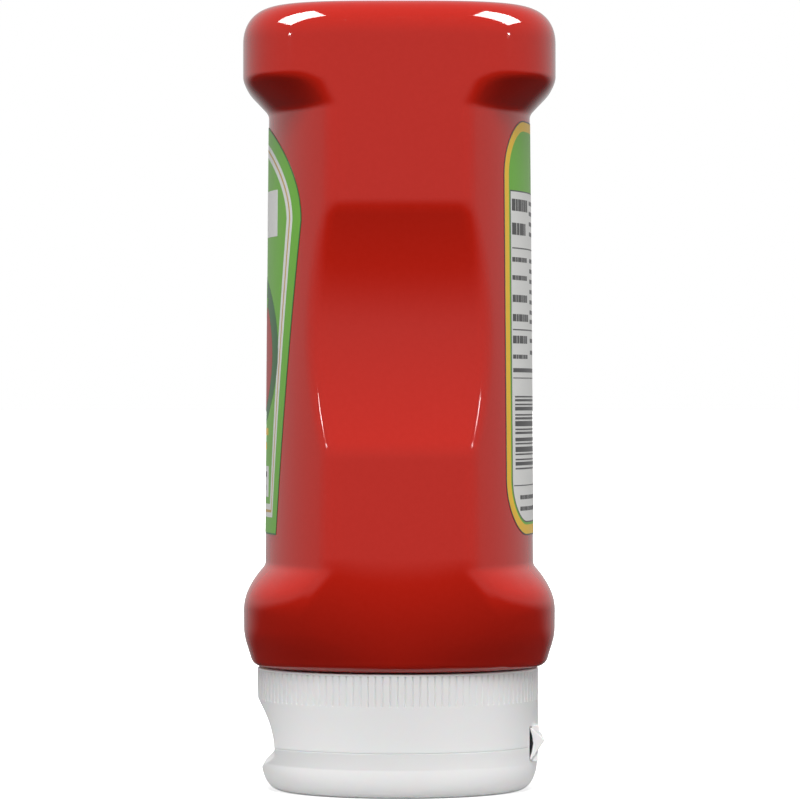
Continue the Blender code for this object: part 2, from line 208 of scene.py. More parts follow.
def spun_grid(rows: int, steps: int) -> BMesh:
    """Make a tube of quads whose vertices carry their row number as Z.

    Args:
        rows: Number of rings.
        steps: Number of vertices in a ring.

    Returns:
        The tube, with a radius of 1, the first ring at Z 0 and the next at Z 1.
    """
    shape = bmesh.new()
    line = [shape.verts.new((1.0, 0.0, float(row))) for row in range(rows)]
    edges = [shape.edges.new(pair) for pair in zip(line, line[1:])]
    bmesh.ops.spin(
        shape, geom=[*line, *edges], cent=(0, 0, 0), axis=(0, 0, 1), dvec=(0, 0, 0),
        angle=2 * math.pi, steps=steps, use_merge=True, use_duplicate=False,
    )
    return shape


def shaped_grid(
    rings: Sequence[Ring],
    steps: int,
    warp: Callable[[float], float] = lambda turn: turn,
    shift: float = 0.0,
) -> BMesh:
    """Give a spun tube its form, ring by ring.

    Args:
        rings: For each ring, a function from an angle to the radius and height there.
        steps: Number of vertices in a ring.
        warp: Moves the angles, to bring vertices closer together where the form turns.
        shift: How far the whole tube stands towards -Y.

    Returns:
        The closed mesh, with rings of no radius merged to one point.
    """
    shape = spun_grid(len(rings), steps)
    for vert in shape.verts:
        turn = warp(math.atan2(vert.co.y, vert.co.x))
        radius, height = rings[round(vert.co.z)](turn)
        vert.co = (radius * math.cos(turn), radius * math.sin(turn) - shift, height)
    bmesh.ops.remove_doubles(shape, verts=shape.verts, dist=0.0002 * MM)
    bmesh.ops.recalc_face_normals(shape, faces=shape.faces)
    return shape


@dataclass(frozen=True)
class Piece:
    """How one finished mesh joins the model."""

    name: str
    slot: str
    node: str | None = None
    sharp_angle: float = 35.0

    def place(self, shape: BMesh, materials: Iterable[bpy.types.Material]) -> bpy.types.Object:
        """Turn a bmesh to an object that rides on the bottle.

        Args:
            shape: The finished form, in place, which is freed here.
            materials: The piece's materials, in the order of its faces' indices.

        Returns:
            The new object.
        """
        mesh = bpy.data.meshes.new(self.name)
        shape.to_mesh(mesh)
        shape.free()
        for material in materials:
            mesh.materials.append(material)
        mesh.shade_smooth()
        mesh.set_sharp_from_angle(angle=math.radians(self.sharp_angle))
        piece = bpy.data.objects.new(self.name, mesh)
        bpy.context.scene.collection.objects.link(piece)
        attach(piece, "root")
        if self.node:
            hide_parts(self.node)
        LOG.info("%s: %d faces", self.name, len(mesh.polygons))
        return piece


@dataclass(frozen=True)
class MouldedPolyester:
    """Clear blow-moulded PET over ketchup: a deep red with a wet gloss and a very slight ripple."""

    name: str = "moulded_polyester_over_ketchup"
    colour: str = "C42215"
    deep_colour: str = "BF1E0D"
    roughness: float = 0.05
    ior: float = 1.5
    ripple_mm: float = 9.0
    fleck_mm: float = 0.9
    ripple_strength: float = 0.5
    ripple_height_mm: float = 0.004

    def material(self) -> bpy.types.Material:
        """The red of the bottle."""
        material, tree, shader = new_material(self.name)
        fleck = noise(tree, self.fleck_mm * MM, 2.0)
        colour = add_node(tree, "ShaderNodeValToRGB", links={"Fac": fleck})
        colour.color_ramp.elements[0].color = linear_rgb(self.deep_colour)
        colour.color_ramp.elements[1].color = linear_rgb(self.colour)
        tree.links.new(colour.outputs["Color"], shader.inputs["Base Color"])
        ripple = noise(tree, self.ripple_mm * MM, 1.0)
        add_relief(tree, shader, ripple, self.ripple_strength, self.ripple_height_mm * MM)
        shader.inputs["Roughness"].default_value = self.roughness
        shader.inputs["IOR"].default_value = self.ior
        return material


@dataclass(frozen=True)
class SatinPolypropylene:
    """Injection-moulded white PP: satin, a little translucent, with a fine even grain."""

    name: str = "satin_polypropylene"
    colour: str = "E6E6E6"
    roughness: float = 0.42
    ior: float = 1.49
    grain_mm: float = 0.35
    grain_strength: float = 0.6
    grain_height_mm: float = 0.004
    glow: float = 0.15
    glow_depth_mm: float = 1.0

    def material(self) -> bpy.types.Material:
        """The white of the cap, lid and strap."""
        material, tree, shader = new_material(self.name)
        grain = noise(tree, self.grain_mm * MM, 2.0)
        add_relief(tree, shader, grain, self.grain_strength, self.grain_height_mm * MM)
        shader.inputs["Base Color"].default_value = linear_rgb(self.colour)
        shader.inputs["Roughness"].default_value = self.roughness
        shader.inputs["IOR"].default_value = self.ior
        shader.inputs["Subsurface Weight"].default_value = self.glow
        shader.inputs["Subsurface Scale"].default_value = self.glow_depth_mm * MM
        return material


@dataclass(frozen=True)
class PrintedFilm:
    """Gravure-printed polypropylene film: flat ink under a thin semi-gloss varnish."""

    ink: Print
    roughness: float = 0.36
    ior: float = 1.42
    mottle_mm: float = 0.5
    mottle: float = 0.03

    def material(self) -> bpy.types.Material:
        """One colour of the print."""
        name = f"film_ink_{self.ink.name.lower()}"
        if name in bpy.data.materials:
            return bpy.data.materials[name]
        material, tree, shader = new_material(name)
        level = add_node(
            tree, "ShaderNodeMapRange", values={"To Min": 1 - self.mottle, "To Max": 1 + self.mottle},
            links={"Value": noise(tree, self.mottle_mm * MM, 2.0)},
        )
        tone = add_node(
            tree, "ShaderNodeHueSaturation", values={"Color": linear_rgb(PRINT_COLOURS[self.ink])},
            links={"Value": level.outputs["Result"]},
        )
        tree.links.new(tone.outputs["Color"], shader.inputs["Base Color"])
        shader.inputs["Roughness"].default_value = self.roughness
        shader.inputs["IOR"].default_value = self.ior
        return material


@dataclass(frozen=True)
class PanelWall:
    """The wall with round corners that leads from one end of a label panel out to the column."""

    foot: float
    upwards: int
    run: float
    growth: float
    corner_run: float
    corner_reach: float
    foot_soft: float
    edge_soft: float
    corner_soft: float
    corner_end: float = 12.7 * MM
    corner_power: float = 2.3
    growth_end: float = 25.0 * MM
    least_run: float = 1.2 * MM
    least_slope: float = 0.35

    def rise(self, gap: float, x: float, y: float, z: float) -> float:
        """How far the wall stands out from the panel.

        Args:
            gap: Distance from the panel out to the column.
            x: Distance of the column's point from the middle, along X.
            y: The same along Y.
            z: Height.

        Returns:
            The distance, which is 0 away from the wall.
        """
        corner = min(max((self.corner_reach - y) / (self.corner_reach - self.corner_end), 0.0), 1.0)
        drawn_in = self.corner_run * (1 - (1 - corner ** self.corner_power) ** (1 / self.corner_power))
        full_run = self.run + self.growth * min(x / self.growth_end, 1.0) ** 2
        slope = max(gap / max(full_run - drawn_in, self.least_run), self.least_slope)
        return slope * soft_max(0.0, (z - self.foot) * self.upwards, self.foot_soft)

    def softness(self, side_soft: float, along: float, z: float) -> float:
        """Rounding of the panel's edge, along being 1 at the panel's middle and small at its sides."""
        corner = blend(side_soft, self.corner_soft, (z - self.foot) * self.upwards / self.run)
        return blend(corner, self.edge_soft, along ** 4)


@dataclass(frozen=True)
class BottleForm:
    """The red bottle's surface: an oval column with two label panels and two thumb grips."""

    height: float = 152.4 * MM
    foot: float = 24.3 * MM
    width: float = 69.8 * MM
    depth: float = 61.0 * MM
    oval_power: float = 3.3
    round_power: float = 2.0
    top_round: float = 7.0 * MM
    top_round_power: float = 2.3
    side_tuck_top: float = 46.2 * MM
    side_tuck_radius: float = 40.0 * MM
    front_tuck_top: float = 30.4 * MM
    front_tuck_slope: float = 0.3
    front_tuck_soft: float = 0.5 * MM
    foot_round: float = 1.4 * MM
    panel_radius: float = 53.2 * MM
    panel_bottom: float = 44.0 * MM
    panel_top: float = 130.5 * MM
    panel_reach_bottom: float = 26.3 * MM
    panel_reach_top: float = 25.6 * MM
    side_edge_soft: float = 1.4 * MM
    upper_wall: PanelWall = PanelWall(
        foot=132.25 * MM, upwards=1, run=5.2 * MM, growth=0.7 * MM, corner_run=7.5 * MM,
        corner_reach=21.9 * MM, foot_soft=0.8 * MM, edge_soft=2.0 * MM, corner_soft=0.7 * MM,
    )
    lower_wall: PanelWall = PanelWall(
        foot=44.1 * MM, upwards=-1, run=4.65 * MM, growth=1.4 * MM, corner_run=9.0 * MM,
        corner_reach=24.0 * MM, foot_soft=0.6 * MM, edge_soft=3.9 * MM, corner_soft=1.2 * MM,
    )
    grip_middle: float = 89.95 * MM
    grip_half_length: float = 23.2 * MM
    grip_depth: float = 3.55 * MM
    grip_soft: float = 0.5 * MM

    def top_inset(self, z: float) -> float:
        """How far the rounded top edge has drawn the column in."""
        share = min(max((z - self.height) / self.top_round + 1, 0.0), 1.0)
        power = self.top_round_power
        return self.top_round * (1 - (1 - share ** power) ** (1 / power))

    def foot_inset(self, z: float) -> float:
        """How far the rounded lower edge has drawn the column in."""
        share = min(max((self.foot + self.foot_round - z) / self.foot_round, 0.0), 1.0)
        return self.foot_round * (1 - math.sqrt(1 - share * share))

    def grip_inset(self, z: float) -> float:
        """How deep the thumb grip is."""
        share = (z - self.grip_middle) / self.grip_half_length
        return soft_max(0.0, self.grip_depth * (1 - share * share), self.grip_soft)

    def side_tuck(self, z: float) -> float:
        """How far the narrow sides have curved in towards the cap."""
        drop = max(self.side_tuck_top - z, 0.0)
        return self.side_tuck_radius - math.sqrt(self.side_tuck_radius ** 2 - drop * drop)

    def column_axes(self, z: float) -> Pair:
        """Half width and half depth of the oval column at a height."""
        rounding = self.top_inset(z) + self.foot_inset(z)
        tuck = soft_max(0.0, (self.front_tuck_top - z) * self.front_tuck_slope, self.front_tuck_soft)
        half_width = self.width / 2 - rounding - self.side_tuck(z) - self.grip_inset(z)
        return half_width, self.depth / 2 - rounding - tuck

    def panel_reach(self, z: float) -> float:
        """Distance from the bottle's middle to a label panel at a height."""
        share = (z - self.panel_bottom) / (self.panel_top - self.panel_bottom)
        return self.panel_reach_bottom + (self.panel_reach_top - self.panel_reach_bottom) * share

    def panel_drop(self, x: float) -> float:
        """How far a label panel has curved back at a distance x from its middle."""
        return self.panel_radius - math.sqrt(self.panel_radius ** 2 - x * x)

    def radius(self, turn: float, z: float) -> float:
        """Distance from the middle to the surface.

        Args:
            turn: Angle from +X.
            z: Height.

        Returns:
            The radius there.
        """
        across, along = abs(math.cos(turn)), abs(math.sin(turn))
        half_width, half_depth = self.column_axes(z)
        squareness = (z - self.foot) / (self.side_tuck_top - self.foot)
        power = blend(self.round_power, self.oval_power, squareness)
        oval = ((across / half_width) ** power + (along / half_depth) ** power) ** (-1 / power)
        wall = self.upper_wall if z > self.grip_middle else self.lower_wall
        gap = oval * along + self.panel_drop(oval * across) - self.panel_reach(z)
        centre = self.panel_radius - self.panel_reach(z) - wall.rise(gap, oval * across, oval * along, z)
        under_root = self.panel_radius ** 2 - (across * centre) ** 2
        if under_root <= 0:
            return oval
        panel = math.sqrt(under_root) - along * centre
        return soft_min(oval, panel, wall.softness(self.side_edge_soft, along, z))

    def on_panel(self, side: Side, x: float, z: float, lift: float) -> Vector:
        """A point over a label panel.

        Args:
            side: Which panel.
            x: Distance to the right of the panel's middle, seen along +Y.
            z: Height.
            lift: How far the point stands off the panel.

        Returns:
            The point.
        """
        return Vector((x, side.value * (self.panel_reach(z) - self.panel_drop(x) + lift), z))


@dataclass
class RedBottle:
    """The red bottle with its short neck and its flat end."""

    form: BottleForm = field(default_factory=BottleForm)
    finish: MouldedPolyester = field(default_factory=MouldedPolyester)
    steps: int = 300
    neck_radius: float = 18.0 * MM
    neck_end: float = 12.3 * MM
    low_wall_end: float = 47.0 * MM
    high_wall_start: float = 130.0 * MM
    high_wall_end: float = 141.0 * MM
    grip_margin: float = 2.0 * MM
    fine_step: float = 0.3 * MM
    low_step: float = 0.36 * MM
    grip_step: float = 1.2 * MM
    rim_step: float = 1.0 * MM
    plain_step: float = 1.5 * MM
    foot_rings: int = 8
    top_rings: int = 36
    dish_depth: float = 1.2 * MM
    dish_rings: tuple[Pair, ...] = (
        (0.97, 0.0), (0.93, 0.0), (0.9, 0.0), (0.87, 0.02), (0.84, 0.08), (0.8, 0.25), (0.76, 0.45),
        (0.72, 0.6), (0.66, 0.7), (0.58, 0.8), (0.45, 0.9), (0.3, 0.96), (0.15, 1.0), (0.0, 1.0),
    )

    def heights(self) -> list[float]:
        """Heights of the rings up the side, closer together where the surface turns."""
        form = self.form
        foot_turns = [math.pi / 2 * i / self.foot_rings for i in range(self.foot_rings)]
        rows = [form.foot + form.foot_round * (1 - math.cos(turn)) for turn in foot_turns]
        grip_low = form.grip_middle - form.grip_half_length
        grip_high = form.grip_middle + form.grip_half_length
        stretches = (
            (form.foot + form.foot_round, self.low_wall_end, self.low_step),
            (self.low_wall_end, grip_low - self.grip_margin, self.plain_step),
            (grip_low - self.grip_margin, grip_low + self.grip_margin, self.fine_step),
            (grip_low + self.grip_margin, grip_high - self.grip_margin, self.grip_step),
            (grip_high - self.grip_margin, grip_high + self.grip_margin, self.fine_step),
            (grip_high + self.grip_margin, self.high_wall_start, self.plain_step),
            (self.high_wall_start, self.high_wall_end, self.fine_step),
            (self.high_wall_end, form.height - form.top_round, self.rim_step),
        )
        for start, end, step in stretches:
            rows += stepped(start, end, step)
        top_turns = [math.pi / 2 * i / self.top_rings for i in range(self.top_rings + 1)]
        return rows + [form.height - form.top_round * (1 - math.sin(turn)) for turn in top_turns]

    def build(self) -> bpy.types.Object:
        """Model and dress the bottle."""
        form = self.form
        rings: list[Ring] = [
            lambda turn: (0.0, self.neck_end),
            lambda turn: (self.neck_radius, self.neck_end),
            lambda turn: (self.neck_radius, form.foot),
        ]
        rings += [lambda turn, z=z: (form.radius(turn, z), z) for z in self.heights()]
        rings += [
            lambda turn, share=share, low=low: (
                share * form.radius(turn, form.height), form.height - low * self.dish_depth,
            )
            for share, low in self.dish_rings
        ]
        shape = shaped_grid(rings, self.steps)
        piece = Piece("red_bottle", "red_bottle", "bottle", sharp_angle=50.0)
        return piece.place(shape, [self.finish.material()])


@dataclass
class FilmSheet:
    """A flat drawing in X and Z that is wrapped onto a label panel as thin film or ink."""

    form: BottleForm
    side: Side
    lift: float
    thickness: float
    fold_step: float = 1.2 * MM
    widest: float = 27.0 * MM

    def wrap(self, name: str, slot: str, shape: BMesh, node: str | None = None) -> bpy.types.Object:
        """Bend a flat drawing round the panel and give it a thickness.

        Args:
            name: Name of the piece.
            slot: Name of a material slot for it, which the piece keeps but doesn't use.
            shape: Flat faces at Y 0, with an ink for each face, which is freed here.
            node: The solid that the piece stands for, if any.

        Returns:
            The finished piece.
        """
        folds = math.ceil(self.widest / self.fold_step)
        for fold in range(-folds, folds + 1):
            bmesh.ops.bisect_plane(
                shape, geom=[*shape.verts, *shape.edges, *shape.faces], dist=0.0001 * MM,
                plane_co=(fold * self.fold_step, 0, 0), plane_no=(1, 0, 0),
            )
        for vert in shape.verts:
            vert.co = self.form.on_panel(self.side, vert.co.x, vert.co.z, self.lift)
        shape.normal_update()
        turned = [face for face in shape.faces if face.normal.y * self.side.value < 0]
        bmesh.ops.reverse_faces(shape, faces=turned)
        bmesh.ops.solidify(shape, geom=shape.faces[:], thickness=self.thickness)
        return Piece(name, slot, node, 30.0).place(shape, [PrintedFilm(ink).material() for ink in Print])


def flat_face(shape: BMesh, corners: Sequence[Pair], ink: Print) -> bmesh.types.BMFace:
    """Draw one flat face.

    Args:
        shape: Drawing that takes the face.
        corners: X and Z of each corner, in order.
        ink: The face's colour.

    Returns:
        The face.
    """
    face = shape.faces.new([shape.verts.new((x, 0.0, z)) for x, z in corners])
    face.material_index = ink.value
    return face


def box_face(
    shape: BMesh, left: float, right: float, bottom: float, top: float, ink: Print
) -> bmesh.types.BMFace:
    """Draw one upright rectangle between two X and two Z values."""
    return flat_face(shape, ((left, bottom), (right, bottom), (right, top), (left, top)), ink)


def oval_face(
    shape: BMesh, middle: Pair, across: float, up: float, ink: Print,
    lean: float = 0.0, points: int = 40,
) -> None:
    """Draw one oval.

    Args:
        shape: Drawing that takes the oval.
        middle: X and Z of its middle.
        across: Its half width.
        up: Its half height.
        ink: Its colour.
        lean: Its turn, in radians.
        points: Number of points round it.
    """
    place = (
        Matrix.Translation((middle[0], 0.0, middle[1]))
        @ Matrix.Rotation(lean, 4, "Y")
        @ Matrix.Diagonal((across, 1.0, up, 1.0))
        @ Matrix.Rotation(math.pi / 2, 4, "X")
    )
    made = bmesh.ops.create_circle(shape, cap_ends=True, segments=points, radius=1.0, matrix=place)
    for face in {face for vert in made["verts"] for face in vert.link_faces}:
        face.material_index = ink.value


def inset_bands(
    shape: BMesh,
    face: bmesh.types.BMFace,
    bands: Sequence[tuple[float, Print]],
    middle: Print,
) -> None:
    """Divide a face to nested bands of colour.

    Args:
        shape: Drawing that holds the face.
        face: The outline.
        bands: Width and colour of each band, from the edge inwards.
        middle: Colour of what is left.
    """
    for width, ink in bands:
        made = bmesh.ops.inset_region(
            shape, faces=[face], thickness=width, use_even_offset=True, use_boundary=True,
        )
        for ring in made["faces"]:
            ring.material_index = ink.value
    face.material_index = middle.value


@dataclass
class PrintedLabel:
    """What both labels share: the panel that they lie on, and the thickness of film and ink."""

    side: Side
    slot: str
    form: BottleForm = field(default_factory=BottleForm)
    film_lift: float = 0.08 * MM
    film_thickness: float = 0.24 * MM
    ink_lift: float = 0.1 * MM
    ink_step: float = 0.015 * MM
    ink_thickness: float = 0.06 * MM

    def lay_film(self, name: str, shape: BMesh, node: str) -> None:
        """Wrap the label's film, which stands for one of the solids.

        Args:
            name: Name of the piece.
            shape: The flat drawing, which is freed here.
            node: The solid.
        """
        sheet = FilmSheet(self.form, self.side, self.film_lift, self.film_thickness)
        sheet.wrap(name, self.slot, shape, node)

    def lay_ink(self, name: str, shape: BMesh, layer: int) -> None:
        """Wrap one layer of print over the film.

        Args:
            name: Name of the piece.
            shape: The flat drawing, which is freed here.
            layer: Number of layers under it.
        """
        lift = self.ink_lift + layer * self.ink_step
        FilmSheet(self.form, self.side, lift, self.ink_thickness).wrap(name, self.slot, shape)


@dataclass
class FrontLabel(PrintedLabel):
    """The front label: an arched panel in green with a white and gold border."""

    side: Side = Side.FRONT
    slot: str = "green_label"
    bottom: float = 50.3 * MM
    spring: float = 110.6 * MM
    top: float = 129.8 * MM
    half_bottom: float = 16.0 * MM
    half_top: float = 26.6 * MM
    arch_steps: int = 48
    # The first, thin dark green band is a painted shadow line round the label's rim; the bands inside it
    # are print.
    bands: tuple[tuple[float, Print], ...] = (
        (0.3 * MM, Print.DARK_GREEN), (3.0 * MM, Print.GREEN), (0.95 * MM, Print.WHITE),
        (0.5 * MM, Print.GOLD), (1.15 * MM, Print.WHITE),
    )
    # Half width, lower and upper edge of the two plain white fields
    white_fields: tuple[tuple[float, float, float], ...] = (
        (15.5 * MM, 108.0 * MM, 117.0 * MM), (9.2 * MM, 57.5 * MM, 63.5 * MM),
    )
    # Height of the middle, half width and half height of each oval
    ground: tuple[float, float, float] = (86.0 * MM, 16.5 * MM, 14.5 * MM)
    tomato: tuple[float, float, float] = (85.0 * MM, 12.2 * MM, 10.8 * MM)
    # Height, half width and half thickness of each bar, with its ink
    bars: tuple[tuple[float, float, float, Print], ...] = (
        (70.2 * MM, 8.2 * MM, 0.7 * MM, Print.YELLOW), (67.4 * MM, 6.0 * MM, 0.7 * MM, Print.YELLOW),
        (61.9 * MM, 6.8 * MM, 0.5 * MM, Print.CHARCOAL), (59.3 * MM, 5.0 * MM, 0.5 * MM, Print.CHARCOAL),
    )
    leaves: int = 5
    leaf_turn: float = 32.0  # degrees from one leaf to the next
    leaf_size: Pair = (1.1 * MM, 4.0 * MM)
    leaf_fan: Pair = (3.6 * MM, 2.6 * MM)
    leaf_foot: float = 93.2 * MM
    shine_place: Pair = (-5.4 * MM, 86.8 * MM)
    shine_size: Pair = (1.5 * MM, 3.0 * MM)
    shine_lean: float = 28.0

    def outline(self, shape: BMesh) -> bmesh.types.BMFace:
        """Draw the label's outline: straight sides that open upwards to a half oval."""
        first = shape.verts.new((self.half_top, 0.0, self.spring))
        bmesh.ops.spin(
            shape, geom=[first], cent=(0, 0, self.spring), axis=(0, -1, 0), dvec=(0, 0, 0),
            angle=math.pi, steps=self.arch_steps, use_merge=False, use_duplicate=False,
        )
        rise = (self.top - self.spring) / self.half_top
        for vert in shape.verts:
            vert.co.z = self.spring + abs(vert.co.z - self.spring) * rise
        ends = sorted((v for v in shape.verts if len(v.link_edges) == 1), key=lambda v: v.co.x)
        low = [shape.verts.new((x, 0.0, self.bottom)) for x in (-self.half_bottom, self.half_bottom)]
        shape.edges.new((ends[0], low[0]))
        shape.edges.new((ends[1], low[1]))
        shape.edges.new(low)
        made = bmesh.ops.contextual_create(shape, geom=shape.edges[:])
        return made["faces"][0]

    def build_film(self) -> None:
        """The label's film with its nested bands of colour, the outermost a painted shadow line round its
        rim.
        """
        shape = bmesh.new()
        inset_bands(shape, self.outline(shape), self.bands, Print.GREEN)
        self.lay_film("front_label_film", shape, "label_front")

    def build_fields(self) -> None:
        """A white banner, a ground for the tomato and a white foot, all plain."""
        shape = bmesh.new()
        for half, low, high in self.white_fields:
            box_face(shape, -half, half, low, high, Print.WHITE)
        middle, across, up = self.ground
        oval_face(shape, (0.0, middle), across, up, Print.DARK_GREEN)
        self.lay_ink("front_label_fields", shape, 0)

    def build_motif(self) -> None:
        """A plain round tomato, with bars where a pack has its words."""
        shape = bmesh.new()
        middle, across, up = self.tomato
        oval_face(shape, (0.0, middle), across, up, Print.RED)
        for row, half, thick, ink in self.bars:
            box_face(shape, -half, half, row - thick, row + thick, ink)
        self.lay_ink("front_label_motif", shape, 1)

    def build_leaves(self) -> None:
        """The tomato's leaves and its shine."""
        shape = bmesh.new()
        for leaf in range(self.leaves):
            lean = math.radians(self.leaf_turn * (leaf - (self.leaves - 1) / 2))
            middle = (
                self.leaf_fan[0] * math.sin(lean), self.leaf_foot + self.leaf_fan[1] * math.cos(lean),
            )
            oval_face(shape, middle, *self.leaf_size, Print.GREEN, lean, 20)
        lean = math.radians(self.shine_lean)
        oval_face(shape, self.shine_place, *self.shine_size, Print.WHITE, lean, 24)
        self.lay_ink("front_label_leaves", shape, 2)

    def build(self) -> None:
        """Model and dress the whole front label."""
        self.build_film()
        self.build_fields()
        self.build_motif()
        self.build_leaves()


@dataclass
class BackLabel(PrintedLabel):
    """The back label: a yellow and green border round a white panel, whose print is given in mm."""

    side: Side = Side.BACK
    slot: str = "yellow_label"
    bottom: float = 50.2 * MM
    top: float = 130.4 * MM
    half_width: float = 24.1 * MM
    corner: float = 11.0 * MM
    corner_steps: int = 16
    # Width of the painted shadow line round the label's rim, and of the printed frame line round the white
    # panel
    rim_shadow_and_frame_line: float = 0.25 * MM
    border: float = 1.8 * MM
    ring: float = 0.7 * MM
    panel_top: float = 116.7 * MM
    print_half: float = 20.8
    left_column_end: float = 10.2
    word_lengths: tuple[float, ...] = (3.2, 2.0, 4.1, 1.5, 2.7)
    word_gap: float = 0.45
    # Height, thickness and letter width of each row on the left
    left_rows: tuple[tuple[float, float, float], ...] = (
        (113.9, 2.3, 0.55), (109.3, 2.3, 0.7), (103.4, 0.9, 0.5), (99.9, 0.9, 0.5), (95.9, 1.4, 0.5),
        (92.2, 1.4, 0.55), (88.0, 1.5, 0.6), (84.7, 0.8, 0.5),
    )
    small_height: float = 0.8
    small_unit: float = 0.5
    # Start and end of the small print's blocks, with the heights of their rows
    small_rows: tuple[tuple[float, float, tuple[float, ...]], ...] = (
        (8.4, -20.8, (114.6, 112.6, 110.6, 108.6, 103.4, 101.4, 99.4, 97.4, 95.4, 93.4, 91.6, 87.9, 85.6)),
        (0.4, -20.8, (78.4, 75.6, 72.8, 70.0, 67.2, 64.4)),
        (17.6, -17.6, (57.6, 55.4)),
    )
    # Height and thickness of the lines right across
    rules: tuple[Pair, ...] = (
        (105.6, 0.25), (89.9, 0.25), (82.1, 0.8), (80.6, 0.2), (59.9, 0.2),
    )
    code_bottom: float = 63.0
    code_span: Pair = (2.0, 20.0)
    # Each bar of the code, from its foot, with the space over it
    code_bars: tuple[Pair, ...] = (
        (0.3, 0.45), (0.7, 0.3), (0.3, 0.7), (0.3, 0.3), (1.0, 0.45), (0.3, 0.3), (0.7, 0.7), (0.45, 0.3),
        (0.3, 0.45), (1.0, 0.3), (0.45, 0.3), (0.3, 0.7), (0.7, 0.3), (0.3, 0.45), (0.45, 0.3), (0.3, 0.3),
    )

    def rounded(
        self, shape: BMesh, inset: float, top: float, ink: Print, round_top: bool
    ) -> bmesh.types.BMFace:
        """Draw an upright rectangle with round corners.

        Args:
            shape: Drawing that takes it.
            inset: How far its sides and foot lie inside the label's own.
            top: Height of its upper edge.
            ink: Its colour.
            round_top: Whether the upper corners are round too.

        Returns:
            The face.
        """
        half = self.half_width - inset
        face = box_face(shape, -half, half, self.bottom + inset, top, ink)
        corners = [vert for vert in face.verts if round_top or vert.co.z < top - self.corner]
        bmesh.ops.bevel(
            shape, geom=corners, offset=self.corner - inset, offset_type="OFFSET", affect="VERTICES",
            segments=self.corner_steps, profile=0.5, material=-1,
        )
        return max(shape.faces, key=lambda f: f.calc_area())

    def build_film(self) -> None:
        """The film with a painted shadow line round its rim, its yellow border and green field."""
        shape = bmesh.new()
        face = self.rounded(shape, 0.0, self.top, Print.GREEN, True)
        # The charcoal band is a painted shadow line round the label's rim
        bands = ((self.rim_shadow_and_frame_line, Print.CHARCOAL), (self.border, Print.YELLOW))
        inset_bands(shape, face, bands, Print.GREEN)
        self.lay_film("back_label_film", shape, "label_back")

    def build_panel(self) -> None:
        """The white panel with its dark frame line."""
        shape = bmesh.new()
        face = self.rounded(shape, self.border + self.ring, self.panel_top, Print.WHITE, False)
        inset_bands(shape, face, ((self.rim_shadow_and_frame_line, Print.CHARCOAL),), Print.WHITE)
        self.lay_ink("back_label_panel", shape, 0)

    def add_words(
        self, shape: BMesh, row: Pair, left: float, right: float, unit: float,
    ) -> None:
        """Draw one row of plain blocks where such a panel has small print.

        Args:
            shape: Drawing that takes the row.
            row: Height of its middle and of its blocks, in mm.
            left: Where it starts, as X in mm. The back label is read from +X to -X.
            right: Where it ends, as X in mm.
            unit: Width of a letter, in mm.
        """
        middle, tall = row
        low, high = (middle - tall / 2) * MM, (middle + tall / 2) * MM
        start, index = left, 0
        while start - unit * self.word_lengths[index] > right:
            end = start - unit * self.word_lengths[index]
            box_face(shape, end * MM, start * MM, low, high, Print.CHARCOAL)
            start = end - unit * self.word_gap
            index = (index + 1) % len(self.word_lengths)

    def build_print(self) -> None:
        """Plain blocks, lines and bars in the places where such a panel has its print."""
        shape = bmesh.new()
        for middle, tall, unit in self.left_rows:
            self.add_words(shape, (middle, tall), self.print_half, self.left_column_end, unit)
        for left, right, rows in self.small_rows:
            for middle in rows:
                self.add_words(shape, (middle, self.small_height), left, right, self.small_unit)
        for middle, thick in self.rules:
            low, high = (middle - thick / 2) * MM, (middle + thick / 2) * MM
            box_face(shape, -self.print_half * MM, self.print_half * MM, low, high, Print.CHARCOAL)
        low = self.code_bottom
        for bar, space in self.code_bars:
            near, far = self.code_span
            box_face(shape, near * MM, far * MM, low * MM, (low + bar) * MM, Print.CHARCOAL)
            low += bar + space
        self.lay_ink("back_label_print", shape, 1)

    def build(self) -> None:
        """Model and dress the whole back label."""
        self.build_film()
        self.build_panel()
        self.build_print()


@dataclass(frozen=True)
class CapForm:
    """Sizes that the cap and its lid share."""

    radius: float = 27.55 * MM
    shift: float = 0.3 * MM
    top: float = 24.0 * MM
    bottom: float = 8.9 * MM
    lid_top: float = 8.87 * MM
    edge: float = 0.3 * MM
    parting_edge: float = 0.08 * MM
    bore_radius: float = 18.3 * MM
    bore_floor: float = 12.0 * MM
    spigot_radius: float = 22.5 * MM
    spigot_bottom: float = 7.6 * MM
    scoop_radius: float = 15.8 * MM
    scoop_middle: float = 8.0 * MM
    scoop_face: float = 24.2 * MM
    scoop_top: float = 18.9 * MM
    scoop_soft: float = 0.35 * MM
    pocket_face: float = 25.3 * MM
    pocket_top: float = 12.9 * MM
    pocket_bottom: float = 6.1 * MM
    pocket_soft: float = 0.12 * MM

    def scoop_reach(self, z: float) -> float:
        """Distance from the bottle's middle to the face of the thumb scoop."""
        rise = (z - self.scoop_middle) / self.scoop_radius
        if z >= self.scoop_top or abs(rise) >= 1:
            return 2 * self.radius
        return self.scoop_face + self.scoop_radius * (1 - math.sqrt(1 - rise * rise))

    def cut_back(self, radius: float, turn: float, z: float, reach: float, shift: float) -> float:
        """Draw a radius in to the thumb scoop or the hinge pocket.

        Args:
            radius: Radius of the round surface.
            turn: Angle from +X.
            z: Height.
            reach: Distance from the bottle's middle to the scoop's face.
            shift: How far the round surface's axis stands towards -Y.

        Returns:
            The radius with what the cut leaves.
        """
        along = math.sin(turn)
        if along < 0 and reach < 2 * self.radius:
            radius = soft_min(radius, (reach - shift) / -along, self.scoop_soft)
        if along > 0 and self.pocket_bottom <= z <= self.pocket_top:
            radius = soft_min(radius, (self.pocket_face + shift) / along, self.pocket_soft)
        return radius


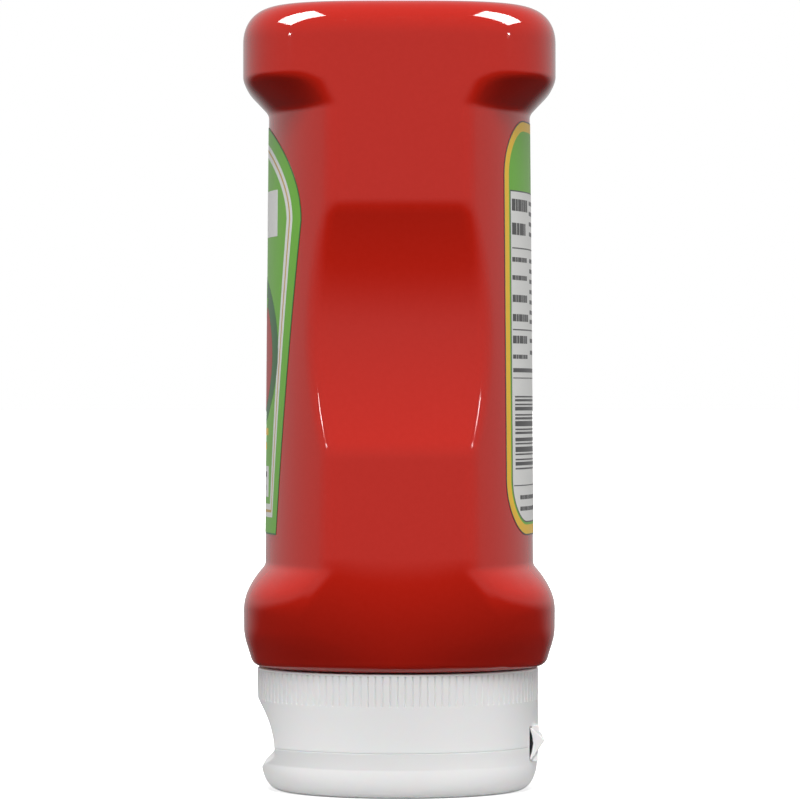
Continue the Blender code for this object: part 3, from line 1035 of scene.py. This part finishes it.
@dataclass
class ScrewCap:
    """The collar with its ribs and the smooth skirt under it."""

    form: CapForm = field(default_factory=CapForm)
    finish: SatinPolypropylene = field(default_factory=SatinPolypropylene)
    ribs: int = 120
    rib_bottom: float = 17.8 * MM
    rib_middle: float = 21.0 * MM
    rib_top: float = 23.55 * MM
    skirt_top: float = 17.5 * MM
    row_step: float = 0.3 * MM
    groove_depth: float = 0.28 * MM
    groove_half_width: float = 0.2 * MM
    rib_offsets: tuple[float, ...] = (-0.16, -0.08, 0.0, 0.08, 0.16, 0.32, 0.5, 0.68)

    def warp(self, turn: float) -> float:
        """Bring the vertices of each rib's groove close together."""
        per_rib = len(self.rib_offsets)
        pitch = 2 * math.pi / self.ribs
        index = round(turn / pitch * per_rib)
        rib, place = divmod(index, per_rib)
        return (rib + self.rib_offsets[place]) * pitch

    def side(self, turn: float, z: float) -> Pair:
        """Radius and height of the cap's side."""
        form = self.form
        radius = form.cut_back(form.radius, turn, z, form.scoop_reach(z), form.shift)
        if self.rib_bottom <= z <= self.rib_top:
            pitch = 2 * math.pi / self.ribs
            off_groove = abs(turn / pitch - round(turn / pitch)) * pitch * form.radius
            radius -= self.groove_depth * max(0.0, 1 - off_groove / self.groove_half_width)
        return radius, z

    def heights(self) -> list[float]:
        """Heights down the cap's side."""
        form = self.form
        tiny = 0.01 * MM
        steps_down = (tiny, 0.0, -0.3 * MM)
        rows = [self.rib_top + step for step in steps_down] + [self.rib_middle]
        steps_down = (0.3 * MM, 0.1 * MM, 0.0, -tiny, -0.15 * MM)
        rows += [self.rib_bottom + step for step in steps_down]
        rows += stepped(self.skirt_top, form.pocket_top + 0.1 * MM, -self.row_step)
        rows += [form.pocket_top + tiny, form.pocket_top]
        rows += stepped(form.pocket_top - 0.1 * MM, form.bottom + form.parting_edge, -self.row_step)
        return rows

    def edge_ring(self, low: float) -> Ring:
        """A ring on the lower edge's rounding, low being 0 at the side and 1 underneath."""
        form = self.form
        turn_down = low * math.pi / 2

        def ring(turn: float) -> Pair:
            radius, _ = self.side(turn, form.bottom + form.parting_edge)
            drawn_in = form.parting_edge * (1 - math.cos(turn_down))
            return radius - drawn_in, form.bottom + form.parting_edge * (1 - math.sin(turn_down))

        return ring

    def build(self) -> bpy.types.Object:
        """Model and dress the cap."""
        form = self.form
        rings: list[Ring] = [
            lambda turn: (0.0, form.bore_floor),
            lambda turn: (form.bore_radius, form.bore_floor),
            lambda turn: (form.bore_radius, form.top),
        ]
        for i in range(5):
            over = math.pi / 2 * i / 4
            rings.append(lambda turn, over=over: (
                form.radius - form.edge * (1 - math.sin(over)),
                form.top - form.edge * (1 - math.cos(over)),
            ))
        rings += [lambda turn, z=z: self.side(turn, z) for z in self.heights()]
        rings += [self.edge_ring(low) for low in (0.0, 0.33, 0.67, 1.0)]
        rings += [
            lambda turn: (form.spigot_radius, form.bottom),
            lambda turn: (form.spigot_radius, form.spigot_bottom),
            lambda turn: (0.0, form.spigot_bottom),
        ]
        shape = shaped_grid(rings, self.ribs * len(self.rib_offsets), self.warp, form.shift)
        return Piece("screw_cap", "white_cap", "cap", 40.0).place(shape, [self.finish.material()])


@dataclass
class FlipLid:
    """The shut lid that the bottle stands on, with its thumb lip."""

    form: CapForm = field(default_factory=CapForm)
    finish: SatinPolypropylene = field(default_factory=SatinPolypropylene)
    steps: int = 480
    waist_radius: float = 27.05 * MM
    round_height: float = 5.6 * MM
    round_reach: float = 3.7 * MM
    round_steps: int = 24
    round_start: float = 3.4 * MM
    top_step: float = 0.2 * MM
    lip_step: float = 0.15 * MM
    socket_radius: float = 23.1 * MM
    socket_gap: float = 0.3 * MM
    # How far the parting edge has drawn in and come down, as shares of its size
    parting_round: tuple[Pair, ...] = ((1.0, 0.0), (0.6, 0.08), (0.25, 0.32), (0.05, 0.7))
    lip: tuple[Pair, ...] = (
        (24.2, 7.6), (24.5, 7.1), (25.2, 6.4), (26.4, 5.4), (26.9, 4.6), (27.6, 4.3),
    )

    def lip_reach(self, z: float) -> float:
        """Distance from the bottle's middle to the thumb lip's upper face."""
        for (near, high), (far, low) in zip(self.lip, self.lip[1:]):
            if low * MM <= z <= high * MM:
                return blend(near, far, (high * MM - z) / ((high - low) * MM)) * MM
        return self.form.scoop_face if z > self.lip[0][1] * MM else 2 * self.form.radius

    def side(self, z: float) -> Ring:
        """A ring of the lid's side at a height."""
        form = self.form
        if z < self.round_height:
            drop = 1 - z / self.round_height
            radius = self.waist_radius - self.round_reach * (1 - math.sqrt(max(1 - drop * drop, 0.0)))
        else:
            radius = self.waist_radius
        share = (z - self.round_height) / (form.lid_top - self.round_height)

        def ring(turn: float) -> Pair:
            under_cap = form.radius - form.shift * math.sin(turn)
            return form.cut_back(blend(radius, under_cap, share), turn, z, self.lip_reach(z), 0.0), z

        return ring

    def build(self) -> bpy.types.Object:
        """Model and dress the lid."""
        form = self.form
        floor = form.spigot_bottom - self.socket_gap
        rings: list[Ring] = [
            lambda turn: (0.0, floor),
            lambda turn: (self.socket_radius, floor),
            lambda turn: (self.socket_radius, form.lid_top),
        ]
        top_ring = self.side(form.lid_top - form.parting_edge)
        for drawn_in, z in self.parting_round:
            rings.append(lambda turn, drawn_in=drawn_in, z=z: (
                top_ring(turn)[0] - drawn_in * form.parting_edge, form.lid_top - z * form.parting_edge,
            ))
        tiny = 0.01 * MM
        rows = stepped(form.lid_top - form.parting_edge, form.pocket_bottom + 0.1 * MM, -self.top_step)
        rows += [form.pocket_bottom, form.pocket_bottom - tiny]
        rows += stepped(form.pocket_bottom - 0.1 * MM, self.round_start, -self.lip_step)
        low_turn = math.asin(1 - self.round_start / self.round_height)
        turns = [blend(low_turn, math.pi / 2, i / self.round_steps) for i in range(self.round_steps + 1)]
        rows += [self.round_height * (1 - math.sin(turn)) for turn in turns]
        rings += [self.side(z) for z in rows]
        rings.append(lambda turn: (0.0, 0.0))
        shape = shaped_grid(rings, self.steps)
        return Piece("flip_lid", "white_cap", "lid", 40.0).place(shape, [self.finish.material()])


@dataclass
class HingeStrap:
    """The folded strap at the back that joins lid and cap."""

    finish: SatinPolypropylene = field(default_factory=SatinPolypropylene)
    half_length: float = 9.2 * MM
    fold: tuple[Pair, ...] = ((25.75, 12.6), (28.3, 10.2), (25.75, 6.4))
    hollow: tuple[Pair, ...] = (
        (25.3, 6.4), (25.8, 7.9), (26.05, 9.5), (25.8, 11.1), (25.3, 12.6),
    )
    web_half: float = 1.2 * MM
    shoulders: tuple[tuple[Pair, ...], ...] = (
        ((25.3, 12.9), (27.2, 12.9), (27.2, 11.3), (25.8, 12.6), (25.3, 12.6)),
        ((25.3, 6.1), (27.0, 6.1), (27.0, 8.3), (25.8, 6.4), (25.3, 6.4)),
    )
    shoulder_half: float = 8.6 * MM
    rounding: float = 0.18 * MM
    rounding_steps: int = 3
    crisp_degrees: float = 40.0

    def build(self) -> bpy.types.Object:
        """Model and dress the strap, with a web in its middle that shuts the hollow."""
        shape = bmesh.new()
        self.add_bar(shape, self.fold + self.hollow, self.half_length)
        crisp = math.radians(self.crisp_degrees)
        sharp = [edge for edge in shape.edges if edge.calc_face_angle(0.0) > crisp]
        bmesh.ops.bevel(
            shape, geom=sharp, offset=self.rounding, offset_type="OFFSET", affect="EDGES",
            segments=self.rounding_steps, profile=0.5, material=-1, clamp_overlap=True,
        )
        self.add_bar(shape, self.hollow, self.web_half)
        for shoulder in self.shoulders:
            self.add_bar(shape, shoulder, self.shoulder_half)
        piece = Piece("hinge_strap_fold", "white_cap", "hinge_strap", 30.0)
        return piece.place(shape, [self.finish.material()])

    def add_bar(
        self, shape: BMesh, outline: Sequence[Pair], half_length: float
    ) -> None:
        """Add a bar along X.

        Args:
            shape: The bmesh that takes it.
            outline: Y and Z of each corner of its section, in mm.
            half_length: How far it reaches to each side of the middle.
        """
        corners = [shape.verts.new((-half_length, y * MM, z * MM)) for y, z in outline]
        face = shape.faces.new(corners)
        swept = bmesh.ops.extrude_face_region(shape, geom=[face])
        moved = [item for item in swept["geom"] if isinstance(item, bmesh.types.BMVert)]
        bmesh.ops.translate(shape, verts=moved, vec=(2 * half_length, 0.0, 0.0))
        bmesh.ops.recalc_face_normals(shape, faces=shape.faces)


@dataclass(frozen=True)
class SoftBox:
    """One rectangular softbox that only the gloss shows."""

    name: str
    heading: float
    rise: float
    distance: float
    size: Pair
    watts: float
    roll: float = 0.0
    target: tuple[float, float, float] = (0.0, 0.0, 100.0 * MM)

    def build(self) -> None:
        """Hang the light and turn it to its target."""
        light = bpy.data.lights.new(self.name, "AREA")
        light.shape = "RECTANGLE"
        light.size, light.size_y = self.size
        light.energy = self.watts
        away = direction(self.heading, self.rise)
        lamp = bpy.data.objects.new(self.name, light)
        lamp.location = Vector(self.target) + away * self.distance
        rolled = Matrix.Rotation(math.radians(self.roll), 3, "Z")
        facing = away.to_track_quat("Z", "Y").to_matrix() @ rolled
        lamp.rotation_euler = facing.to_euler()
        lamp.visible_diffuse = False
        lamp.visible_camera = False
        bpy.context.scene.collection.objects.link(lamp)


@dataclass(frozen=True)
class FarLight:
    """One broad far light that gives no glint of its own."""

    name: str
    heading: float
    rise: float
    strength: float
    spread: float

    def build(self) -> None:
        """Turn the light the way it shines."""
        light = bpy.data.lights.new(self.name, "SUN")
        light.energy = self.strength
        light.angle = math.radians(self.spread)
        lamp = bpy.data.objects.new(self.name, light)
        lamp.rotation_euler = direction(self.heading, self.rise).to_track_quat("Z", "Y").to_euler()
        lamp.visible_glossy = False
        bpy.context.scene.collection.objects.link(lamp)


def direction(heading: float, rise: float) -> Vector:
    """The way to a light.

    Args:
        heading: Degrees round from +X towards +Y.
        rise: Degrees above the horizon.

    Returns:
        A vector of length 1.
    """
    turn, up = math.radians(heading), math.radians(rise)
    return Vector((math.cos(turn) * math.cos(up), math.sin(turn) * math.cos(up), math.sin(up)))


@dataclass
class Studio:
    """Plain white surroundings, soft lights and a camera level with the bottle's middle."""

    frame_px: float = 800.0
    camera_px: float = 4600.0
    mm_per_px: float = 0.1965
    eye_height: float = 76.36 * MM
    eye_aside: float = 0.12 * MM
    sensor: float = 36.0
    clip: Pair = (0.05, 100.0)
    floor_half: float = 30.0
    floor_colour: str = "F4F4F4"
    floor_glow: float = 0.85
    bounce_radius: float = 38.0 * MM
    bounce_lift: float = 0.05 * MM
    bounce_colour: str = "CACACA"
    bounce_glow: float = 0.1
    zenith_strength: float = 0.42
    sky_strength: float = 0.5
    ground_strength: float = 0.04
    backdrop_strength: float = 1.0
    # Heights on the sky's ball, 1 being the zenith, between which its light changes
    horizon_band: Pair = (-0.3, 0.05)
    zenith_band: Pair = (0.2, 0.9)
    lights: tuple[SoftBox | FarLight, ...] = (
        FarLight("key_front", 0.0, 46.0, 2.5, 25.0),
        FarLight("fill_front_label", -90.0, 5.0, 0.95, 40.0),
        FarLight("fill_back_label", 90.0, 5.0, 0.95, 40.0),
        FarLight("fill_behind", 180.0, 40.0, 1.3, 40.0),
        SoftBox("softbox_left", -73.0, 50.0, 1.0, (0.5, 0.67), 26.0, -18.0),
        SoftBox("softbox_right", 73.0, 50.0, 1.0, (0.5, 0.67), 26.0, 18.0),
        SoftBox("strip_left", -62.0, 9.6, 1.0, (0.05, 0.05), 0.23),
        SoftBox("strip_right", 62.0, 9.6, 1.0, (0.05, 0.05), 0.23),
    )

    def build_camera(self) -> None:
        """Put the camera at the photograph's place."""
        data = bpy.data.cameras.new("photo_camera")
        data.sensor_width = self.sensor
        data.lens = self.sensor * self.camera_px / self.frame_px
        data.clip_start, data.clip_end = self.clip
        camera = bpy.data.objects.new("photo_camera", data)
        camera.location = (self.camera_px * self.mm_per_px * MM, self.eye_aside, self.eye_height)
        camera.rotation_euler = (math.pi / 2, 0.0, math.pi / 2)
        bpy.context.scene.collection.objects.link(camera)
        bpy.context.scene.camera = camera

    def build_floor(self) -> None:
        """A plain pale floor with a soft glow, which throws no light back at the bottle."""
        shape = bmesh.new()
        bmesh.ops.create_grid(shape, x_segments=1, y_segments=1, size=self.floor_half)
        floor = self.staged("studio_floor", shape, self.floor_colour, self.floor_glow)
        floor.visible_diffuse = False

    def build_bounce(self) -> None:
        """A small white disc on the floor that lights only the lid's rounded foot."""
        shape = bmesh.new()
        bmesh.ops.create_circle(
            shape, cap_ends=True, segments=64, radius=self.bounce_radius,
            matrix=Matrix.Translation((0.0, 0.0, self.bounce_lift)),
        )
        disc = self.staged("bounce_disc", shape, self.bounce_colour, self.bounce_glow)
        disc.visible_camera = False
        disc.visible_shadow = False

    def staged(self, name: str, shape: BMesh, colour: str, glow: float) -> bpy.types.Object:
        """Turn a bmesh to a matt pale thing of the studio.

        Args:
            name: Name of the object.
            shape: Its form, which is freed here.
            colour: Its colour, as sRGB hex digits.
            glow: Strength of its own light.

        Returns:
            The object, which the gloss doesn't show.
        """
        mesh = bpy.data.meshes.new(name)
        shape.to_mesh(mesh)
        shape.free()
        # Matt pale paint
        material, _, shader = new_material(f"{name}_paint")
        shader.inputs["Base Color"].default_value = linear_rgb(colour)
        shader.inputs["Roughness"].default_value = 1.0
        shader.inputs["Specular IOR Level"].default_value = 0.0
        shader.inputs["Emission Color"].default_value = linear_rgb(colour)
        shader.inputs["Emission Strength"].default_value = glow
        mesh.materials.append(material)
        thing = bpy.data.objects.new(name, mesh)
        bpy.context.scene.collection.objects.link(thing)
        thing.visible_glossy = False
        return thing

    def build_sky(self) -> None:
        """Even light all round and above, dim below the horizon, with a white backdrop."""
        world = bpy.data.worlds.new("studio")
        bpy.context.scene.world = world
        world.use_nodes = True
        tree = world.node_tree
        place = add_node(tree, "ShaderNodeTexCoord").outputs["Generated"]
        split = add_node(tree, "ShaderNodeSeparateXYZ", links={"Vector": place})
        level = add_node(
            tree, "ShaderNodeMapRange", settings={"interpolation_type": "SMOOTHSTEP"},
            values={
                "From Min": self.horizon_band[0], "From Max": self.horizon_band[1],
                "To Min": self.ground_strength, "To Max": self.sky_strength,
            },
            links={"Value": split.outputs["Z"]},
        )
        dimmed = add_node(
            tree, "ShaderNodeMapRange", settings={"interpolation_type": "SMOOTHSTEP"},
            values={
                "From Min": self.zenith_band[0], "From Max": self.zenith_band[1],
                "To Max": self.zenith_strength,
            },
            links={"Value": split.outputs["Z"], "To Min": level.outputs["Result"]},
        )
        path = add_node(tree, "ShaderNodeLightPath")
        seen = add_node(
            tree, "ShaderNodeMapRange", values={"To Max": self.backdrop_strength},
            links={"Value": path.outputs["Is Camera Ray"], "To Min": dimmed.outputs["Result"]},
        )
        background = tree.nodes["Background"]
        background.inputs["Color"].default_value = (1.0, 1.0, 1.0, 1.0)
        tree.links.new(seen.outputs["Result"], background.inputs["Strength"])

    def build(self) -> None:
        """Set up the studio."""
        self.build_camera()
        self.build_floor()
        self.build_bounce()
        self.build_sky()
        for light in self.lights:
            light.build()
        bpy.context.scene.view_settings.view_transform = "Standard"


def main() -> None:
    """Build the studio and every piece of the bottle."""
    logging.basicConfig(level=logging.INFO, format="%(name)s: %(message)s")
    Studio().build()
    RedBottle().build()
    FrontLabel().build()
    BackLabel().build()
    ScrewCap().build()
    FlipLid().build()
    HingeStrap().build()


if __name__ == "__main__":
    main()
